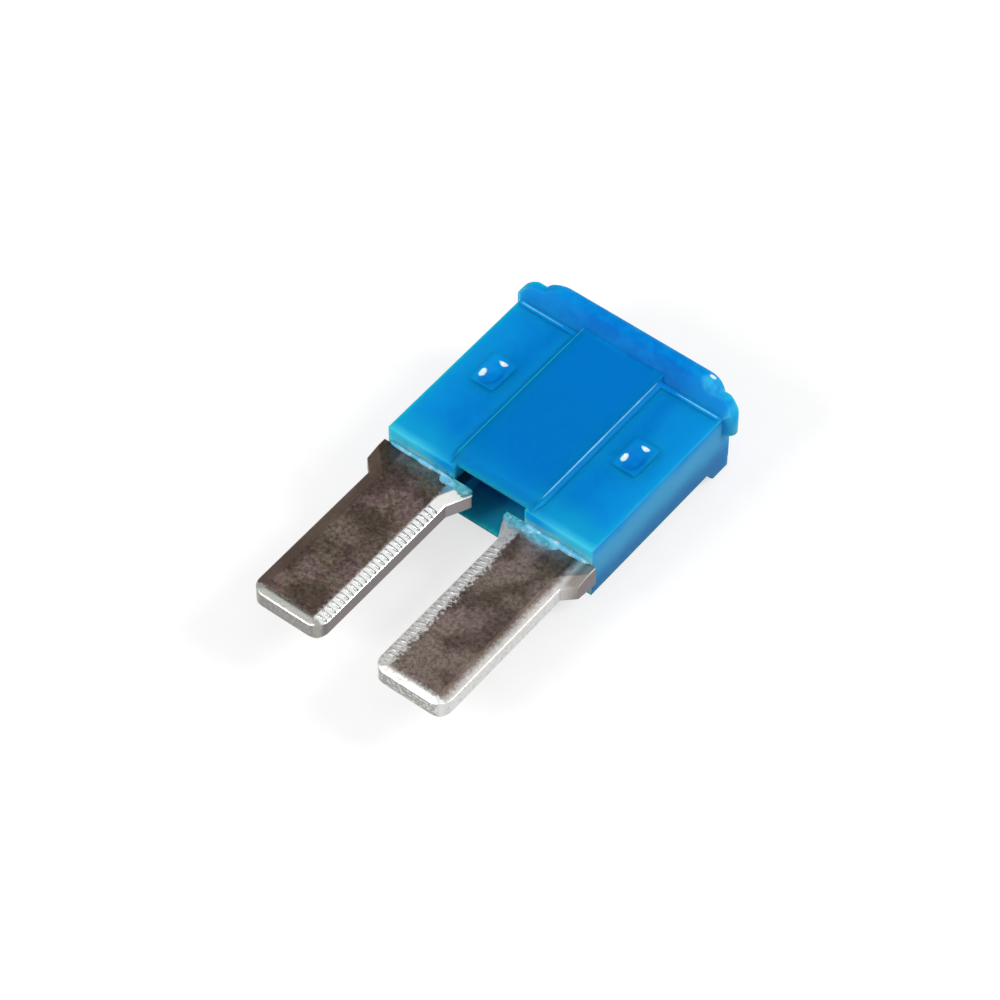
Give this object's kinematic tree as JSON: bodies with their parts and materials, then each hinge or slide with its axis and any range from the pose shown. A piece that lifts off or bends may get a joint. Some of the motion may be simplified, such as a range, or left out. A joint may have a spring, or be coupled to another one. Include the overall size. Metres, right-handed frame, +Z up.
{
  "type": "automotive blade fuse",
  "caption": "Small blade fuse: translucent blue moulded housing with a flared head, holding one stamped conductor with coined blades and an arched fusible link.",
  "frame": {"origin": "middle of the footprint, in the plane that the back of the head lies on", "axes": "X across the blades, +Y from the blade tips to the crown of the head, +Z up through the thickness to the front face"},
  "size_m": [0.0088, 0.0154, 0.0036],
  "materials": {
    "blue_polyamide": "translucent blue polyamide, soft gloss",
    "tinned_zinc": "tin plating with rolled and coined marks"
  },
  "bodies": {
    "root": {"housing": "blue_polyamide", "conductor": "tinned_zinc"}
  },
  "joints": []
}
